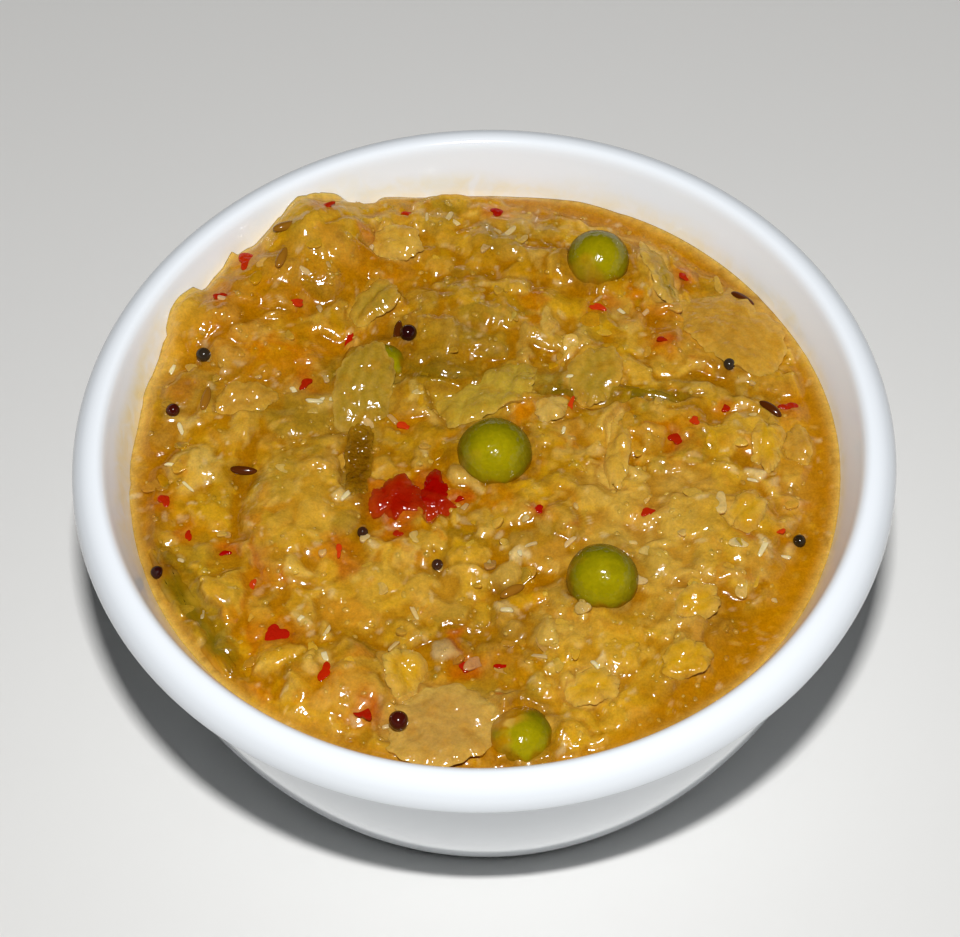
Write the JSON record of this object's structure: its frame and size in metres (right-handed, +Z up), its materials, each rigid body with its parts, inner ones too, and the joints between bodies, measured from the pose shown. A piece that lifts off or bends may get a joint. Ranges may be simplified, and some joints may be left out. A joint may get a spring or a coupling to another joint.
{
  "type": "bowl of kootu",
  "caption": "Small white glazed bowl with a rounded rim band, filled with thick lentil, cabbage and coconut stew topped with green peas, chilli skins and curry leaves.",
  "frame": {"origin": "centre of the bowl's foot, on the surface that it stands on", "axes": "+Z up through the middle of the bowl; +X to the right and +Y away, as the picture shows it"},
  "size_m": [0.1, 0.1, 0.042],
  "materials": {
    "bowl": "smooth bright white glaze",
    "stew": "wet glossy golden lentil gravy",
    "pea": "wet smooth green skin",
    "cabbage": "wet translucent pale leaf",
    "red_chilli": "wet red skin",
    "green_chilli": "wet olive skin",
    "curry_leaf": "wet dark green leaf"
  },
  "bodies": {
    "root": {"bowl": "bowl", "kootu": "stew", "pea_1": "pea", "pea_2": "pea", "pea_3": "pea", "pea_4": "pea", "pea_5": "pea", "red_chilli": "red_chilli", "green_chilli": "green_chilli", "cabbage_1": "cabbage", "cabbage_2": "cabbage", "cabbage_3": "cabbage", "cabbage_4": "cabbage", "cabbage_5": "cabbage", "cabbage_6": "cabbage", "cabbage_7": "cabbage", "cabbage_8": "cabbage", "cabbage_9": "cabbage", "cabbage_10": "cabbage", "cabbage_11": "cabbage", "cabbage_12": "cabbage", "cabbage_13": "cabbage", "cabbage_14": "cabbage", "cabbage_15": "cabbage", "cabbage_16": "cabbage", "cabbage_17": "cabbage", "cabbage_18": "cabbage", "curry_leaf_1": "curry_leaf", "curry_leaf_2": "curry_leaf"}
  },
  "joints": []
}
